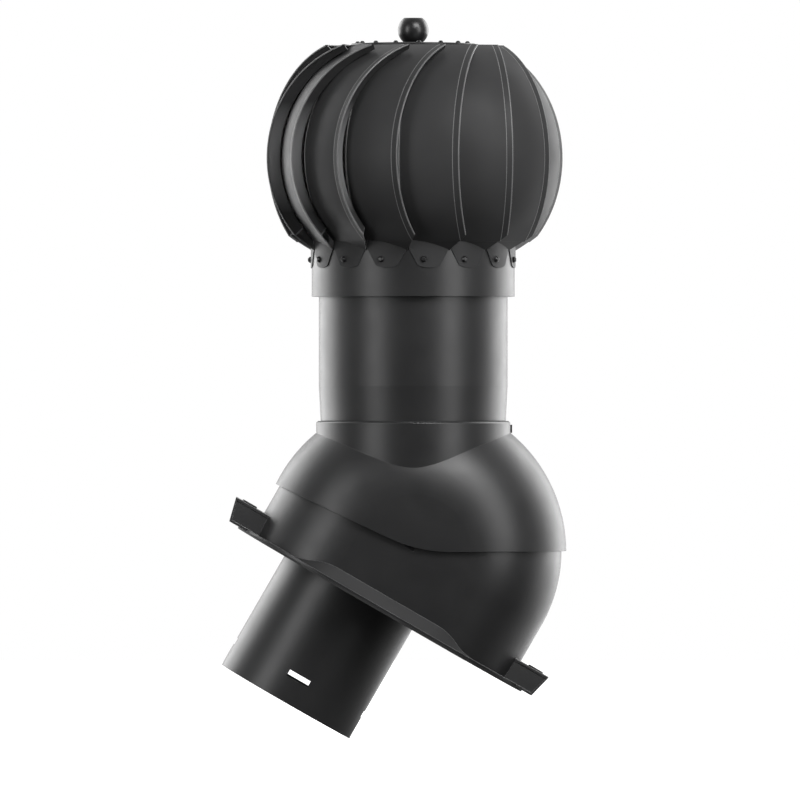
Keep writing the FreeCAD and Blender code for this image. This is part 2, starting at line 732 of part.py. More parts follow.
def ball_knob():
    base = disc_low + disc_step + disc_sheet
    centre = base + ball_flat_low
    ball = Part.makeSphere(ball_r, vec(0, 0, centre)).common(
        box(-FAR, FAR, -FAR, FAR, base, base + ball_flat_top))
    return ball.fuse(rod(stud_r, base - disc_sheet - knob_nut_height - 2, base + 1))


def knob_nut():
    top = disc_low + disc_step
    return hexagon(knob_nut_across, top - knob_nut_height, top).cut(rod(stud_r + fit_gap, 0, 2 * FAR))


def fold_outline():
    """Section across one vane: the panel, the rim and the lip folded back behind it."""
    inner = FreeCAD.Vector(stave_r + stave_flare, inner_edge, 0)
    rim = FreeCAD.Vector(stave_r, outer_rim, 0)
    lip = FreeCAD.Vector(stave_r - lip_in, outer_rim - lip_back, 0)
    along = (rim - inner).normalize()
    back = (lip - rim).normalize()
    inwards = AXIS_Z.cross(along)
    behind = AXIS_Z.cross(back)
    depth = hem_step + vane_sheet
    mitre = (vane_sheet - depth * inwards.dot(behind)) / along.dot(behind)
    step = inwards * hem_step
    points = [inner, inner + along * edge_hem, inner + along * edge_hem + step, rim - along * rim_hem + step,
              rim - along * rim_hem, rim, lip, lip + behind * vane_sheet, rim + inwards * depth + along * mitre,
              inner + inwards * depth]
    return [(point.x, point.y) for point in points]


def stave_radius(y):
    """Radius of the panel's outside at a sideways place, between the hems."""
    return stave_r + stave_flare * (outer_rim - y) / (outer_rim - inner_edge) - hem_step


def polar(radius, angle):
    return (radius * math.cos(math.radians(angle)), radius * math.sin(math.radians(angle)))


def rolled(outline):
    """Outline of (radius, sideways) points rolled about the stave's axis over the vane's height."""
    wire = Part.makePolygon([vec(stave_x + r, y, stave_z) for r, y in outline + outline[:1]])
    axis_point = vec(stave_x, 0, stave_z)
    face = turned(Part.Face(wire), AXIS_Y, sweep_down, axis_point)
    return face.revolve(axis_point, vec(0, -1, 0), sweep_down + sweep_up)


def next_vane_space():
    """Room that the next vane's panel and the air slot take, which the lip stays out of."""
    outside = [(stave_radius(inner_edge - air_slot) + hem_step + air_slot, inner_edge - air_slot),
               (stave_r + air_slot, outer_rim)]
    deep = 0.6 * stave_r
    space = rolled(outside + [(deep, outer_rim), (deep, inner_edge - air_slot)])
    return turned(space, AXIS_Z, 360.0 / vane_count)


def vane_panel():
    """Panel and lip, trimmed at the top, at the collar, at the rim's foot and behind the next vane."""
    panel = rolled(fold_outline())
    corner = polar(collar_r + vane_sheet, skirt_tab_right)
    rim_end = polar(corner_cut_r, corner_cut_angle)
    waste = Part.makePolygon([vec(x, y, collar_low) for x, y in (
        corner, rim_end, (rim_end[0], 2 * outer_rim), (0, 2 * outer_rim), (0, corner[1]), corner)])
    corner_waste = Part.Face(waste).extrude(vec(0, 0, stave_z - collar_low - corner_cut_margin))
    return cut_each(panel, [box(-FAR, FAR, -FAR, FAR, vane_top - vane_sheet, vane_top + FAR),
                            rod(collar_r, collar_low, stave_z), corner_waste, next_vane_space()])


def vane_top_tab():
    """Flat tab under the hub disc, with the hem along the vane's top edge."""
    height = vane_top - vane_sheet - stave_z

    def fold_x(y):
        return stave_x + math.sqrt(stave_radius(y) ** 2 - height ** 2)

    half_pitch = 180.0 / vane_count
    first, last = upper_rivet_angle - half_pitch + 1, upper_rivet_angle + half_pitch - 1
    inner_r = upper_rivet_ring - top_tab_depth
    start = (fold_x(inner_edge), inner_edge)
    end = (fold_x(outer_rim), outer_rim)
    points = [start, end, (end[0] - top_hem, end[1] - 1.2), (fold_x(top_hem_start) - top_hem, top_hem_start),
              polar(disc_r - top_hem, upper_rivet_angle - half_pitch * 0.45), polar(disc_r - top_hem, last),
              polar(inner_r, last), polar(inner_r, first), polar(disc_r - 1, first),
              (start[0] - 1.3, start[1] + 2)]
    wire = Part.makePolygon([vec(x, y, vane_top - vane_sheet) for x, y in points + points[:1]])
    return Part.Face(wire).extrude(vec(0, 0, vane_sheet))


def vane_lower_tab():
    """Rounded tab down the outside of the collar."""
    middle = (skirt_tab_left + skirt_tab_right) / 2
    half = (collar_r + vane_sheet) * math.sin(math.radians((skirt_tab_right - skirt_tab_left) / 2))
    low, corner, high = skirt_tab_low, skirt_tab_corner, skirt_tab_corner + skirt_tab_cover
    shoulder = half * 0.55
    shoulder_z = low + 2.2
    edges = [Part.makeLine(vec(0, -half, high), vec(0, -half, corner)),
             Part.makeLine(vec(0, -half, corner), vec(0, -shoulder, shoulder_z)),
             Part.Arc(vec(0, -shoulder, shoulder_z), vec(0, 0, low), vec(0, shoulder, shoulder_z)).toShape(),
             Part.makeLine(vec(0, shoulder, shoulder_z), vec(0, half, corner)),
             Part.makeLine(vec(0, half, corner), vec(0, half, high)),
             Part.makeLine(vec(0, half, high), vec(0, -half, high))]
    prism = turned(Part.Face(Part.Wire(edges)).extrude(vec(2 * collar_r, 0, 0)), AXIS_Z, middle)
    band = tube(collar_r + vane_sheet, collar_r, low - 1, high + 1).common(prism)
    reach = 10.0
    ends = [stave_radius(y) - vane_sheet / 2 for y in (inner_edge - reach, outer_rim + reach)]
    above = Part.makeCone(ends[0], ends[1], outer_rim - inner_edge + 2 * reach,
                          vec(stave_x, inner_edge - reach, stave_z), AXIS_Y)
    return band.cut(above)


def vane():
    """One vane in its own frame, X out from the rotor's axis."""
    body = vane_panel().fuse([vane_top_tab(), vane_lower_tab()])
    x, y = polar(upper_rivet_ring, upper_rivet_angle)
    top_hole = rod(rivet_shank_r + fit_gap, vane_top - 5, vane_top + 5, x, y)
    return body.cut([top_hole, turned(collar_hole(), AXIS_Z, lower_rivet_angle)])


def vane_turn(k):
    return vane_first + 360.0 * k / vane_count - 90


def collar_hole():
    """Rivet hole through the collar's wall, towards +X."""
    return Part.makeCylinder(rivet_shank_r + fit_gap, collar_r, vec(collar_r / 2, 0, lower_rivet_z), vec(1, 0, 0))


def collar_ring():
    ring = tube(collar_r, collar_r - collar_sheet, collar_low, collar_high)
    return ring.cut(ring_of(collar_hole(), vane_count, vane_turn(0) + lower_rivet_angle))


def rivet(head_r, head_height, grip):
    """Rivet along +Z: round head above zero, shank below."""
    return lathe([(0, -grip), (rivet_shank_r, -grip), (rivet_shank_r, 0), (head_r, 0),
                  (head_r, head_height * 0.4), (head_r * 0.55, head_height), (0, head_height)])


def lower_rivets():
    outside = collar_r + vane_sheet
    one = turned(rivet(lower_rivet_r, lower_rivet_head, vane_sheet + collar_sheet + 0.8), AXIS_Y, 90)
    one.translate(vec(outside, 0, lower_rivet_z))
    return Part.makeCompound(ring_of(one, vane_count, vane_turn(0) + lower_rivet_angle))


def upper_rivets():
    one = rivet(upper_rivet_r, upper_rivet_head, disc_sheet + vane_sheet + 0.8)
    one.translate(vec(upper_rivet_ring, 0, disc_low + disc_sheet))
    return Part.makeCompound(ring_of(one, vane_count, vane_turn(0) + upper_rivet_angle))


def main():
    os.makedirs("parts", exist_ok=True)
    for node, shape in (("base_dome", base_dome()), ("base_plate", base_plate()),
                        ("plate_screws", plate_screws()), ("roof_gasket", roof_gasket()),
                        ("spigot_pipe", spigot_pipe()), ("spigot_screws", spigot_screws()),
                        ("dome_seal", dome_seal()), ("tab_caps", tab_caps())):
        save(on_roof(shape), node)
    for node, shape in (("flex_hose", flex_hose()), ("hood_shell", hood_shell()),
                        ("neck_seal", neck_seal()), ("riser_casing", riser_casing()),
                        ("riser_insulation", riser_insulation()), ("inner_duct", inner_duct()),
                        ("riser_top_ring", riser_top_ring()), ("shaft_bracket", shaft_bracket()),
                        ("bracket_screws", bracket_screws()), ("rotor_shaft", rotor_shaft()),
                        ("shaft_nuts", shaft_nuts()), ("shaft_washers", shaft_washers()),
                        ("bearing_inner_lower", inner_ring(lower_bearing)),
                        ("bearing_inner_upper", inner_ring(upper_bearing)),
                        ("bearing_spacer", bearing_spacer()), ("shaft_clip", shaft_clip()),
                        ("hub_disc", hub_disc()), ("hub_sleeve", hub_sleeve()),
                        ("sleeve_clips", sleeve_clips()),
                        ("bearing_outer_lower", outer_ring(lower_bearing)),
                        ("bearing_outer_upper", outer_ring(upper_bearing)),
                        ("ball_knob", ball_knob()), ("knob_nut", knob_nut()),
                        ("collar_ring", collar_ring()), ("lower_rivets", lower_rivets()),
                        ("upper_rivets", upper_rivets())):
        save(upright(shape), node)
    one_vane = vane()
    for k in range(vane_count):
        save(upright(turned(one_vane, AXIS_Z, vane_turn(k))), "vane_%02d" % (k + 1))


main()
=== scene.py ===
import json
import math

import bpy
from mathutils import Matrix, Vector


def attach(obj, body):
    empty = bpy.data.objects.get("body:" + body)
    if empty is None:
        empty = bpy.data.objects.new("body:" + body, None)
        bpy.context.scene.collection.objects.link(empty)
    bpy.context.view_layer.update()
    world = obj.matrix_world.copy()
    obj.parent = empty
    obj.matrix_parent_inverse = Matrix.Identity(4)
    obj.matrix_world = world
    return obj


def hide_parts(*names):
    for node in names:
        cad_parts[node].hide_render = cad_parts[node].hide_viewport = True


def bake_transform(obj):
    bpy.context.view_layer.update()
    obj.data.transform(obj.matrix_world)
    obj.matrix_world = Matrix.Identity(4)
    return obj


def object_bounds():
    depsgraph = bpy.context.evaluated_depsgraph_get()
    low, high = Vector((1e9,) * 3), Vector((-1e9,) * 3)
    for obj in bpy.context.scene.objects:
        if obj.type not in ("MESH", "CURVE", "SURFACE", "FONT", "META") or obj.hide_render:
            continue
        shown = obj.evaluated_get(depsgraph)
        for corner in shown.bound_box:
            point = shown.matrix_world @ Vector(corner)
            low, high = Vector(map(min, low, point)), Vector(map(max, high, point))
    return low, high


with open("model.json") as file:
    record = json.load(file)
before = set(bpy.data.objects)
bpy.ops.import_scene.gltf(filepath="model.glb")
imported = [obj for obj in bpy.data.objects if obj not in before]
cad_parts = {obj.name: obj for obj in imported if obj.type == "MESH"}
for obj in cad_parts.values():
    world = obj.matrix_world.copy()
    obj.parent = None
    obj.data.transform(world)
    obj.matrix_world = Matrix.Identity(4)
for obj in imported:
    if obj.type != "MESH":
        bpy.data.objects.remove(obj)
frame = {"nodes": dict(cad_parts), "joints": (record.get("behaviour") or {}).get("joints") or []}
cad_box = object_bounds()

nodes = frame["nodes"]
tilt = next(joint for joint in frame["joints"] if joint["name"] == "hood_tilt")
tilt_centre = Vector(tilt["pos_m"])

MM = 0.001
VANE_COUNT = 15
WHITE = (1.0, 1.0, 1.0, 1.0)

MERGE = 0.01 * MM                     # corners closer than this become one
SMOOTH_BELOW = math.radians(40.0)     # edges flatter than this are shaded round


def deselect():
    """Nothing selected and nothing active in object mode."""
    if bpy.context.object and bpy.context.object.mode != "OBJECT":
        bpy.ops.object.mode_set(mode="OBJECT")
    bpy.ops.object.select_all(action="DESELECT")


def pick(*objects):
    """Only these objects selected, the first one active."""
    deselect()
    for item in objects:
        item.select_set(True)
    bpy.context.view_layer.objects.active = objects[0]


def settle(piece):
    """The piece's place goes into its mesh."""
    pick(piece)
    bpy.ops.object.transform_apply(location=True, rotation=True, scale=True)


def open_mesh():
    """Edit mode, with the whole mesh of the active piece selected."""
    bpy.ops.object.mode_set(mode="EDIT")
    bpy.ops.mesh.select_all(action="SELECT")


def finish(piece):
    """Applies the piece's modifiers in turn, sets its faces outwards and smooths its round ones."""
    pick(piece)
    for modifier in list(piece.modifiers):
        bpy.ops.object.modifier_apply(modifier=modifier.name)
    open_mesh()
    bpy.ops.mesh.remove_doubles(threshold=MERGE)
    bpy.ops.mesh.normals_make_consistent(inside=False)
    bpy.ops.object.mode_set(mode="OBJECT")
    bpy.ops.object.shade_smooth_by_angle(angle=SMOOTH_BELOW)


def placed(name, data):
    """New object in the scene."""
    item = bpy.data.objects.new(name, data)
    bpy.context.scene.collection.objects.link(item)
    return item


def above(height):
    """Point on the riser's axis, at a height above the tilt centre."""
    return tilt_centre + Vector((0.0, 0.0, height))


# Numbers that several materials share
CLOUDS = 14.0                         # patterns per metre in the colour
SHEEN = 45.0                          # and in the roughness
GRAIN_DETAIL = 4.0
GRAIN_DEPTH = 0.2 * MM
FELT_DETAIL = 6.0
NOISE_LOW = 0.3                       # most of a noise pattern lies between these two
NOISE_HIGH = 0.7
BEVEL_SAMPLES = 6
EDGE_LEAN = 0.75                      # cosine of the lean that counts as a full edge
INWARD_FROM = -0.05                   # cosine at which a face starts to count as an inner one
INWARD_FULL = -0.35                   # and at which it is one altogether
INNER_PAINTED_LIGHT = (0.34, 0.34, 0.343)      # painted light: the pale grey given to the vanes' inner faces


def socket(shader, name, value):
    """A constant on one of a shader's own sockets."""
    shader.inputs[name].default_value = value


def new_material(name):
    """Empty material with a Principled shader, as (material, tree, shader)."""
    material = bpy.data.materials.new(name)
    material.use_nodes = True
    tree = material.node_tree
    return material, tree, tree.nodes["Principled BSDF"]


def noise(tree, scale, detail=3.0, stretch=(1.0, 1.0, 1.0)):
    """Noise over the piece's own coordinates, in patterns per metre."""
    place = tree.nodes.new("ShaderNodeTexCoord")
    mapping = tree.nodes.new("ShaderNodeMapping")
    mapping.inputs["Scale"].default_value = stretch
    pattern = tree.nodes.new("ShaderNodeTexNoise")
    pattern.inputs["Scale"].default_value = scale
    pattern.inputs["Detail"].default_value = detail
    tree.links.new(place.outputs["Object"], mapping.inputs["Vector"])
    tree.links.new(mapping.outputs["Vector"], pattern.inputs["Vector"])
    return pattern.outputs["Fac"]


def mapped(tree, value, start, end, low=0.0, high=1.0, soft=False):
    """A value between start and end carried over to low and high, and held there beyond."""
    node = tree.nodes.new("ShaderNodeMapRange")
    if soft:
        node.interpolation_type = "SMOOTHSTEP"
    node.inputs["From Min"].default_value = start
    node.inputs["From Max"].default_value = end
    node.inputs["To Min"].default_value = low
    node.inputs["To Max"].default_value = high
    tree.links.new(value, node.inputs["Value"])
    return node.outputs["Result"]


def spread(tree, pattern, low=0.0, high=1.0):
    """A noise pattern spread from low to high."""
    return mapped(tree, pattern, NOISE_LOW, NOISE_HIGH, low, high)


def vector_math(tree, operation, first, second=None):
    """Vector operation on a node's output and on another output, a constant or nothing."""
    node = tree.nodes.new("ShaderNodeVectorMath")
    node.operation = operation
    tree.links.new(first, node.inputs[0])
    if isinstance(second, bpy.types.NodeSocket):
        tree.links.new(second, node.inputs[1])
    elif second is not None:
        node.inputs[1].default_value = second
    return node.outputs["Value" if operation == "DOT_PRODUCT" else "Vector"]


def edge_mask(tree, rounding):
    """Rounded normal, and how far it leans from the flat one: 0 on faces, up to 1 on edges."""
    rounded = tree.nodes.new("ShaderNodeBevel")
    rounded.samples = BEVEL_SAMPLES
    rounded.inputs["Radius"].default_value = rounding
    flat = tree.nodes.new("ShaderNodeNewGeometry")
    lean = vector_math(tree, "DOT_PRODUCT", rounded.outputs["Normal"], flat.outputs["Normal"])
    return rounded.outputs["Normal"], mapped(tree, lean, 1.0, EDGE_LEAN)


def covered(tree, under, over, factor):
    """A colour, constant or from a node, that a second one covers by the factor."""
    mix = tree.nodes.new("ShaderNodeMix")
    mix.data_type = "RGBA"
    if isinstance(under, bpy.types.NodeSocket):
        tree.links.new(under, mix.inputs["A"])
    else:
        mix.inputs["A"].default_value = (*under, 1.0)
    mix.inputs["B"].default_value = (*over, 1.0)
    tree.links.new(factor, mix.inputs["Factor"])
    return mix.outputs["Result"]


def coloured(tree, shader, base, light, pattern, worn=None, edges=None):
    """Base colour that drifts towards a lighter one with the pattern, and to a worn one on edges."""
    result = covered(tree, base, light, pattern)
    if worn:
        result = covered(tree, result, worn, edges)
    tree.links.new(result, shader.inputs["Base Color"])


def bumped(tree, shader, pattern, strength, depth, normal=None):
    """Fine relief from a pattern, over a rounded normal where one is given."""
    bump = tree.nodes.new("ShaderNodeBump")
    bump.inputs["Strength"].default_value = strength
    bump.inputs["Distance"].default_value = depth
    tree.links.new(pattern, bump.inputs["Height"])
    if normal:
        tree.links.new(normal, bump.inputs["Normal"])
    tree.links.new(bump.outputs["Normal"], shader.inputs["Normal"])


def black_finish(name, base, light, worn, roughness, grain, relief, rounding, gloss=0.5):
    """Satin black surface with faint cloudiness, fine grain and edges that are rounded and a little worn."""
    material, tree, shader = new_material(name)
    socket(shader, "Specular IOR Level", gloss)
    normal, edges = edge_mask(tree, rounding)
    coloured(tree, shader, base, light, spread(tree, noise(tree, CLOUDS)), worn, edges)
    tree.links.new(spread(tree, noise(tree, SHEEN), *roughness), shader.inputs["Roughness"])
    bumped(tree, shader, noise(tree, grain, GRAIN_DETAIL), relief, GRAIN_DEPTH, normal)
    return material


def faces_in(tree):
    """0 on faces that look away from the rotor's axis, 1 on faces that look towards it."""
    place = tree.nodes.new("ShaderNodeTexCoord")
    away = vector_math(tree, "SUBTRACT", place.outputs["Object"], tilt_centre)
    level = vector_math(tree, "MULTIPLY", away, (1.0, 1.0, 0.0))
    outward = vector_math(tree, "NORMALIZE", level)
    look = vector_math(tree, "DOT_PRODUCT", outward, place.outputs["Normal"])
    return mapped(tree, look, INWARD_FROM, INWARD_FULL)


def vane_paint():
    """Matt black outside, with a pale grey painted on the inner faces as painted light, so that they look
    lit inside the head.
    """
    material = black_finish("vane_paint", base=(0.030, 0.030, 0.0305), light=(0.037, 0.037, 0.0376),
                            worn=(0.10, 0.10, 0.101), roughness=(0.44, 0.52), grain=1500.0, relief=0.10,
                            rounding=0.35 * MM, gloss=0.14)
    tree = material.node_tree
    colour = tree.nodes["Principled BSDF"].inputs["Base Color"]
    coat = colour.links[0].from_socket
    # painted light: faces that look towards the rotor's axis are covered with the pale grey, which stands in
    # for the light they catch
    tree.links.new(covered(tree, coat, INNER_PAINTED_LIGHT, faces_in(tree)), colour)
    return material


def fold_highlight_paint():
    """Pale coat along the folds, paler still on their edges: a painted highlight that makes them show as
    light lines.
    """
    return black_finish("fold_highlight_paint", base=(0.11, 0.11, 0.111), light=(0.15, 0.15, 0.151),
                        worn=(0.19, 0.19, 0.191), roughness=(0.34, 0.42), grain=1500.0, relief=0.10,
                        rounding=0.2 * MM)


def moulded_black():
    """Moulded plastic of the hood and the base, pale where its edges are worn."""
    return black_finish("moulded_black", base=(0.013, 0.013, 0.0135), light=(0.016, 0.016, 0.0165),
                        worn=(0.16, 0.16, 0.162), roughness=(0.36, 0.42), grain=2200.0, relief=0.12,
                        rounding=0.6 * MM)


def pipe_black():
    """Smooth black of the pipes, the collar and the hub disc."""
    return black_finish("pipe_black", base=(0.013, 0.013, 0.0135), light=(0.017, 0.017, 0.0175),
                        worn=(0.024, 0.024, 0.025), roughness=(0.36, 0.41), grain=1800.0, relief=0.08,
                        rounding=0.4 * MM)


def knob_black():
    """Polished black of the knob and the rivets."""
    return black_finish("knob_black", base=(0.009, 0.009, 0.0095), light=(0.012, 0.012, 0.0125),
                        worn=(0.02, 0.02, 0.02), roughness=(0.28, 0.33), grain=900.0, relief=0.03,
                        rounding=0.6 * MM)


def seal_rubber(name):
    """Matt black rubber."""
    material, tree, shader = new_material(name)
    coloured(tree, shader, base=(0.010, 0.010, 0.010), light=(0.018, 0.018, 0.018),
             pattern=spread(tree, noise(tree, scale=60.0)))
    tree.links.new(spread(tree, noise(tree, scale=90.0), low=0.62, high=0.75), shader.inputs["Roughness"])
    bumped(tree, shader, noise(tree, scale=700.0, detail=GRAIN_DETAIL), strength=0.2, depth=0.3 * MM)
    return material


def bright_metal(name, base, light, roughness, stretch):
    """Plain metal with fine tool marks that run one way."""
    material, tree, shader = new_material(name)
    socket(shader, "Metallic", 1.0)
    marks = noise(tree, scale=900.0, detail=GRAIN_DETAIL, stretch=stretch)
    coloured(tree, shader, base, light, spread(tree, marks))
    tree.links.new(spread(tree, marks, *roughness), shader.inputs["Roughness"])
    bumped(tree, shader, marks, strength=0.15, depth=0.1 * MM)
    return material


def zinc_steel():
    """Zinc plated steel of the shaft, the bearings and the screws."""
    return bright_metal("zinc_steel", base=(0.48, 0.49, 0.50), light=(0.60, 0.61, 0.62),
                        roughness=(0.28, 0.42), stretch=(1.0, 1.0, 8.0))


def plain_aluminium():
    """Turned and pressed aluminium."""
    return bright_metal("plain_aluminium", base=(0.55, 0.56, 0.57), light=(0.66, 0.67, 0.68),
                        roughness=(0.32, 0.45), stretch=(1.0, 1.0, 6.0))


def insulating_felt():
    """Grey felt between the riser's two pipes."""
    material, tree, shader = new_material("insulating_felt")
    coloured(tree, shader, base=(0.20, 0.20, 0.21), light=(0.32, 0.32, 0.33),
             pattern=spread(tree, noise(tree, scale=400.0, detail=FELT_DETAIL)))
    socket(shader, "Roughness", 0.95)
    bumped(tree, shader, noise(tree, scale=900.0, detail=FELT_DETAIL), strength=0.6, depth=0.8 * MM)
    return material


def dress(material, *names):
    """Gives a material to CAD nodes."""
    for name in names:
        mesh = nodes[name].data
        mesh.materials.clear()
        mesh.materials.append(material)


def dress_nodes():
    """Gives all CAD nodes their materials, apart from the plain hose that the ribbed one replaces."""
    dress(vane_paint(), *("vane_%02d" % (k + 1) for k in range(VANE_COUNT)))
    dress(knob_black(), "ball_knob", "upper_rivets", "lower_rivets")
    dress(moulded_black(), "hood_shell", "base_dome", "base_plate", "tab_caps", "riser_top_ring")
    dress(pipe_black(), "riser_casing", "spigot_pipe", "collar_ring", "hub_disc")
    dress(seal_rubber("seal_rubber"), "roof_gasket", "dome_seal", "neck_seal")
    dress(zinc_steel(), "rotor_shaft", "shaft_nuts", "shaft_washers", "bearing_inner_lower",
          "bearing_inner_upper", "bearing_outer_lower", "bearing_outer_upper", "shaft_clip", "sleeve_clips",
          "plate_screws", "spigot_screws", "bracket_screws", "knob_nut")
    dress(plain_aluminium(), "shaft_bracket", "hub_sleeve", "bearing_spacer", "inner_duct")
    dress(insulating_felt(), "riser_insulation")


# The vanes, each in its own frame: X out from the rotor's axis, Y across the vane, Z up, all
# measured from the tilt centre
VANE_FIRST = -127.7                   # turn of the first vane's frame, in degrees
STAVE_X = 7.6 * MM                    # the axis that a vane is rolled about
STAVE_Z = 332.91 * MM
STAVE_R = 100.5 * MM                  # radius of the roll at the outer rim
STAVE_FLARE = 3.9 * MM                # more radius at the inner edge
INNER_EDGE = 14.2 * MM
OUTER_RIM = 65.8 * MM
HEM_LINE = 60.2 * MM                  # where the rim's hem ends on the panel
EDGE_HEM = 2.0 * MM                   # width of the inner edge's hem
HEM_STEP = 0.5 * MM                   # the panel lies this far below its hems
VANE_TOP = 427.4 * MM
BOW = 2.2 * MM                        # how far a panel bows out between its hems
BOW_ACROSS = 14
BOW_ALONG = 72
BOW_FADE = 30.0 * MM                  # it flattens out over this height at both ends
BOW_LOW = 262.0 * MM
BOW_SHEET = 0.6 * MM
SINK = 0.06 * MM                      # its borders lie this far in the sheet
BEAD_SIDES = 10
BEAD_STEPS = 56

# The three folds of a vane: radius of the roll, place across the vane, half the fold's thickness,
# and the angle of its foot from the level, in degrees
FOLDS = (
    (STAVE_R - 0.55 * MM, OUTER_RIM - 0.5 * MM, 0.7 * MM, -41.0),
    (STAVE_R - 0.05 * MM, HEM_LINE, 0.6 * MM, -44.4),
    (STAVE_R + STAVE_FLARE - 0.5 * MM, INNER_EDGE + 0.3 * MM, 0.75 * MM, -41.0),
)


def eased(value):
    """0 to 1, level at both ends."""
    value = min(max(value, 0.0), 1.0)
    return value * value * (3.0 - 2.0 * value)


def arched(share):
    """0 at both ends of 0 to 1, and 1 in the middle."""
    return 4.0 * share * (1.0 - share)


def bowed_panel():
    """Outer face of one vane between its hems, bowed sideways, as a sheet over the vane's solid."""
    deselect()
    bpy.ops.mesh.primitive_grid_add(x_subdivisions=BOW_ACROSS, y_subdivisions=BOW_ALONG, size=1.0)
    piece = bpy.context.object
    first = INNER_EDGE + EDGE_HEM
    for corner in piece.data.vertices:
        across = corner.co.x + 0.5
        along = 0.5 - 0.5 * math.cos(math.pi * (corner.co.y + 0.5))
        sideways = first + (HEM_LINE - first) * across
        height = BOW_LOW + (VANE_TOP - BOW_LOW) * along
        flat = STAVE_R + STAVE_FLARE * (OUTER_RIM - sideways) / (OUTER_RIM - INNER_EDGE) - HEM_STEP
        turn = math.asin((height - STAVE_Z) / flat)
        fade = eased((VANE_TOP - height) / BOW_FADE) * eased((height - BOW_LOW) / BOW_FADE)
        radius = flat - SINK + BOW * arched(across) * fade
        corner.co = (STAVE_X + radius * math.cos(turn), sideways, STAVE_Z + radius * math.sin(turn))
    sheet = piece.modifiers.new("sheet", "SOLIDIFY")
    sheet.thickness = BOW_SHEET
    sheet.offset = 1.0
    finish(piece)
    return piece


def bead(radius, sideways, half, foot):
    """Rounded fold along the vane, from the angle of its foot up to the vane's top."""
    head = math.asin((VANE_TOP - STAVE_Z) / radius)
    start = math.radians(foot)
    deselect()
    bpy.ops.mesh.primitive_circle_add(
        vertices=BEAD_SIDES, radius=half, fill_type="NOTHING",
        location=(STAVE_X + radius * math.cos(start), sideways, STAVE_Z + radius * math.sin(start)),
        rotation=(0.0, -start, 0.0))
    piece = bpy.context.object
    settle(piece)
    open_mesh()
    bpy.ops.mesh.spin(steps=BEAD_STEPS, angle=head - start, center=(STAVE_X, 0.0, STAVE_Z),
                      axis=(0.0, 1.0, 0.0))
    bpy.ops.mesh.select_all(action="SELECT")
    bpy.ops.mesh.fill_holes(sides=BEAD_SIDES)
    bpy.ops.object.mode_set(mode="OBJECT")
    finish(piece)
    return piece


def vane_faces():
    """Bowed face and rounded folds of every vane, all from one pattern."""
    pattern = bowed_panel()
    folds = [bead(*fold) for fold in FOLDS]
    pattern.data.materials.append(nodes["vane_01"].data.materials[0])
    # painted highlight: the folds get a pale grey coat instead of the vanes' black, standing in for the
    # light on their rounded faces
    fold_highlight = fold_highlight_paint()
    for fold in folds:
        fold.data.materials.append(fold_highlight)
    pick(pattern, *folds)
    bpy.ops.object.join()
    for k in range(VANE_COUNT):
        mesh = pattern.data.copy()
        turn = math.radians(VANE_FIRST + 360.0 * k / VANE_COUNT)
        mesh.transform(Matrix.Translation(tilt_centre) @ Matrix.Rotation(turn, 4, "Z"))
        piece = placed("vane_face_%02d" % (k + 1), mesh)
        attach(piece, "rotor")
    bpy.data.objects.remove(pattern)


# The soft hose between the spigot and the riser's duct
HOSE_R = 59.2 * MM
HOSE_RIB = 1.7 * MM
HOSE_WALL = 1.0 * MM
HOSE_PITCH = 7.5 * MM
HOSE_SIDES = 72
HOSE_ROUND = 0.3                      # share of the pitch that rounds each rib's crest
HOSE_ROUND_STEPS = 3
HOSE_WELD = 0.05 * MM                 # ends of ribs closer than this are joined
HOSE_FOOT = 22.5 * MM                 # along the spigot's axis from the row's origin
HOSE_BEND = 60.0 * MM                 # height above the tilt centre where the two axes cross
HOSE_TOP = 103.0 * MM
HOSE_LINE_STEPS = 24


def hose_line():
    """Curve up the hose's middle, from inside the spigot to inside the riser's duct."""
    bend = above(HOSE_BEND)
    ends = (bend.normalized() * HOSE_FOOT, bend, above(HOSE_TOP))
    data = bpy.data.curves.new("hose_line", "CURVE")
    data.dimensions = "3D"
    data.resolution_u = HOSE_LINE_STEPS
    spline = data.splines.new("NURBS")
    spline.points.add(len(ends) - 1)
    for point, place in zip(spline.points, ends):
        point.co = (*place, 1.0)
    spline.order_u = 3
    spline.use_endpoint_u = True
    return placed("hose_line", data), spline.calc_length()


def hose():
    """Ribbed soft hose bent from the spigot's axis up to the riser's: one rib, repeated, given a wall and
    bent along its line.
    """
    middle = (0.0, 0.0, HOSE_PITCH / 2)
    deselect()
    bpy.ops.mesh.primitive_cylinder_add(vertices=HOSE_SIDES, radius=HOSE_R - HOSE_RIB, depth=HOSE_PITCH,
                                        end_fill_type="NOTHING", location=middle)
    piece = bpy.context.object
    piece.name = "ribbed_hose"
    settle(piece)
    open_mesh()
    bpy.ops.mesh.bisect(plane_co=middle, plane_no=(0.0, 0.0, 1.0))
    grow = HOSE_R / (HOSE_R - HOSE_RIB)
    bpy.ops.transform.resize(value=(grow, grow, 1.0), center_override=middle)
    bpy.ops.mesh.bevel(offset=HOSE_PITCH * HOSE_ROUND, segments=HOSE_ROUND_STEPS, affect="EDGES")
    bpy.ops.object.mode_set(mode="OBJECT")
    line, length = hose_line()
    repeat = piece.modifiers.new("ribs", "ARRAY")
    repeat.fit_type = "FIXED_COUNT"
    repeat.count = int(length / HOSE_PITCH)
    repeat.use_relative_offset = False
    repeat.use_constant_offset = True
    repeat.constant_offset_displace = (0.0, 0.0, HOSE_PITCH)
    repeat.use_merge_vertices = True
    repeat.merge_threshold = HOSE_WELD
    wall = piece.modifiers.new("wall", "SOLIDIFY")
    wall.thickness = HOSE_WALL
    follow = piece.modifiers.new("line", "CURVE")
    follow.object = line
    follow.deform_axis = "POS_Z"
    finish(piece)
    bpy.data.objects.remove(line)
    piece.data.materials.append(seal_rubber("hose_rubber"))
    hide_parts("flex_hose")
    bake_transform(piece)


